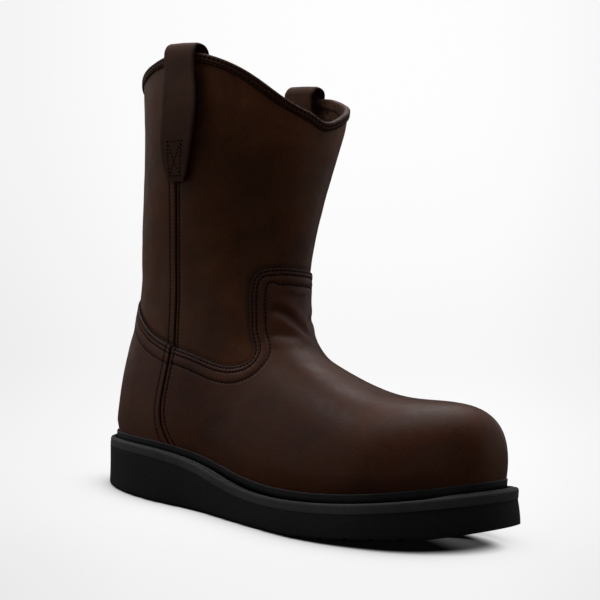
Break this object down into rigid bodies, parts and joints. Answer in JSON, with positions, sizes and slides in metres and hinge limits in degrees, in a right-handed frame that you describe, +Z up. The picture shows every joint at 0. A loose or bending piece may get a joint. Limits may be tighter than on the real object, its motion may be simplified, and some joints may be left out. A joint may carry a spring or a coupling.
{
  "type": "work boot",
  "caption": "Pull-on leather work boot with a steel toe cap, a wedge sole, webbing-style pull straps and a lift-out footbed; right foot.",
  "frame": {"origin": "middle of the boot's footprint box, on the ground under the flat of the sole", "axes": "+X from heel to toe, +Y to the inner (medial) side of the right foot, +Z up"},
  "size_m": [0.3178, 0.143, 0.3032],
  "materials": {
    "leather_vamp": "oiled pull-up leather, low sheen",
    "leather_shaft": "oiled pull-up leather, low sheen",
    "leather_trim": "oiled leather, folded edge",
    "leather_strap": "oiled leather",
    "thread": "waxed bonded thread, dark brown",
    "rubber_outsole": "matt black moulded rubber",
    "rubber_welt": "semi-gloss dark grey rubber",
    "steel": "pressed steel",
    "cap_strip": "soft rubber edge",
    "stiffener": "thermoplastic sheet",
    "lining": "non-woven lining",
    "foam": "foam footbed",
    "footbed_fabric": "knit top cloth",
    "board": "fibre board",
    "cork": "cork compound"
  },
  "bodies": {
    "boot": {"binding_stitch": "thread", "cork_filler": "cork", "counter_stitch_lower": "thread", "counter_stitch_upper": "thread", "foot_lining": "lining", "heel_counter": "leather_vamp", "heel_stiffener": "stiffener", "insole_board": "board", "insole_rib": "board", "lower_seam_piping_lateral": "leather_trim", "lower_seam_piping_medial": "leather_trim", "lower_stitch_front_lateral": "thread", "lower_stitch_front_medial": "thread", "lower_stitch_rear_lateral": "thread", "lower_stitch_rear_medial": "thread", "midsole": "rubber_welt", "outsole": "rubber_outsole", "shaft_back": "leather_shaft", "shaft_front": "leather_shaft", "side_seam_piping_lateral": "leather_trim", "side_seam_piping_medial": "leather_trim", "side_stitch_front_lateral": "thread", "side_stitch_front_medial": "thread", "side_stitch_rear_lateral": "thread", "side_stitch_rear_medial": "thread", "steel_shank": "steel", "steel_toe_cap": "steel", "storm_welt": "rubber_welt", "toe_cap_edge_strip": "cap_strip", "topline_binding": "leather_trim", "vamp": "leather_vamp", "vamp_stitch_inner": "thread", "vamp_stitch_middle": "thread", "vamp_stitch_outer": "thread", "welt_stitch": "thread"},
    "pull_strap_lateral": {"pull_strap_lateral": "leather_strap", "strap_tack_stitch_lateral": "thread"},
    "pull_strap_medial": {"pull_strap_medial": "leather_strap", "strap_tack_stitch_medial": "thread"},
    "footbed": {"footbed": "foam", "footbed_cover": "footbed_fabric"}
  },
  "joints": [
    {"name": "strap_rock_lateral", "type": "hinge", "parent": "boot", "child": "pull_strap_lateral", "pos_m": [-0.064, -0.06, 0.216], "axis": [0, 1, 0], "range_deg": [-5, 5]},
    {"name": "strap_rock_medial", "type": "hinge", "parent": "boot", "child": "pull_strap_medial", "pos_m": [-0.064, 0.06, 0.216], "axis": [0, 1, 0], "range_deg": [-5, 5]},
    {"name": "footbed_lift", "type": "hinge", "parent": "boot", "child": "footbed", "pos_m": [0.1386, 0, 0.0395], "axis": [0, 1, 0], "range_deg": [0, 8]}
  ]
}
